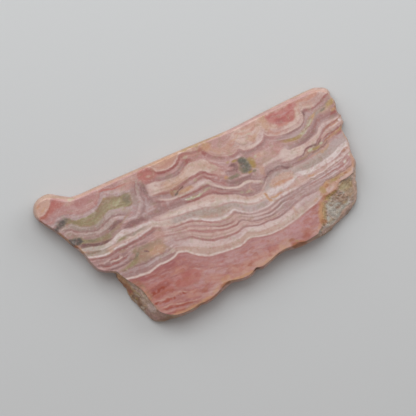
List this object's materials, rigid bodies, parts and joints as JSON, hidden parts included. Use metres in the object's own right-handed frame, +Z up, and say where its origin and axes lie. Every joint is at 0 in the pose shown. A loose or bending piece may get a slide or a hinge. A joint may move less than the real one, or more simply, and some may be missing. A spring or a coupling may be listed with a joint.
{
  "type": "rhodochrosite slice",
  "caption": "Flat polished slice of banded pink rhodochrosite with rough matrix along two sides, for lying on a shelf or table.",
  "frame": {"origin": "under the middle of the slice, on its sawn rest face", "axes": "+X runs along the straight ground edge, from the rounded tip to the ragged end; +Y points towards the straight edge; +Z is up, out of the polished face"},
  "size_m": [0.0902, 0.047, 0.006],
  "materials": {
    "banded_stone": "polished upper face and ground straight edge, sawn underside, rough natural walls"
  },
  "bodies": {
    "root": {"rhodochrosite_slice": "banded_stone"}
  },
  "joints": []
}
